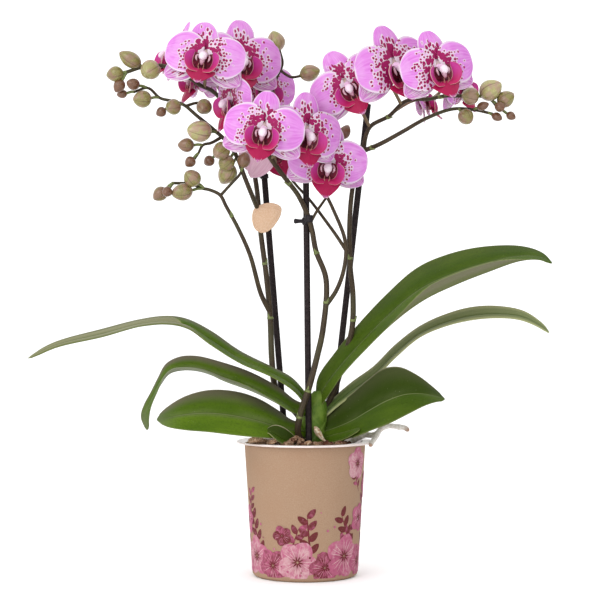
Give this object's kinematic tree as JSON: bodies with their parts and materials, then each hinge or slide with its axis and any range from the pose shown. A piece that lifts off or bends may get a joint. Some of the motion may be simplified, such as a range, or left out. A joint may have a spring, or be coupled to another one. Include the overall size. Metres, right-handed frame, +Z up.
{
  "type": "potted moth orchid",
  "caption": "Moth orchid with spotted pink blooms on staked spikes, arching leaves, bark and a clear-rimmed pot in a kraft paper wrap; it stands as decoration.",
  "frame": {"origin": "middle of the cover pot's underside", "axes": "+Z up along the pot's axis; the side that the blooms face is -Y; +X is to that viewer's right"},
  "size_m": [0.3763, 0.1311, 0.3907],
  "materials": {
    "kraft_wrap": "matte kraft paper with a print of small flowers",
    "pot_plastic": "smooth, milky",
    "bark": "rough bark chips",
    "stake": "satin",
    "leaf": null,
    "stem": null,
    "petal": "soft living petal",
    "lip": "soft living petal, deep crimson",
    "clip": "satin",
    "tag": "matte card",
    "root": "dry, chalky",
    "dry_root": "dry, papery"
  },
  "bodies": {
    "root": {"cover_pot": "kraft_wrap", "grow_pot": "pot_plastic", "crown": "leaf", "bark_mix": "bark", "stake_left": "stake", "stake_middle": "stake", "stake_right": "stake", "leaf_upper_left": "leaf", "leaf_mid_left": "leaf", "leaf_low_left": "leaf", "leaf_curled_left": "leaf", "leaf_upper_right": "leaf", "leaf_mid_right": "leaf", "leaf_low_right": "leaf", "leaf_folded_right": "leaf", "spike_left": "stem", "spike_middle": "stem", "spike_right": "stem", "bloom_a": "petal", "bloom_b": "petal", "bloom_c": "petal", "bloom_d": "petal", "bloom_e": "petal", "bloom_f": "petal", "bloom_g": "petal", "bloom_h": "petal", "bloom_i": "petal", "bloom_j": "petal", "bloom_k": "petal", "bloom_l": "petal", "bloom_m": "petal", "bloom_n": "petal", "bloom_o": "petal", "lip_a": "lip", "lip_b": "lip", "lip_c": "lip", "lip_d": "lip", "lip_e": "lip", "lip_f": "lip", "lip_g": "lip", "lip_h": "lip", "lip_i": "lip", "lip_j": "lip", "lip_k": "lip", "lip_l": "lip", "lip_m": "lip", "lip_n": "lip", "lip_o": "lip", "clip_left": "clip", "clip_middle": "clip", "tag": "tag", "rim_root": "root", "dry_root": "dry_root"}
  },
  "joints": []
}
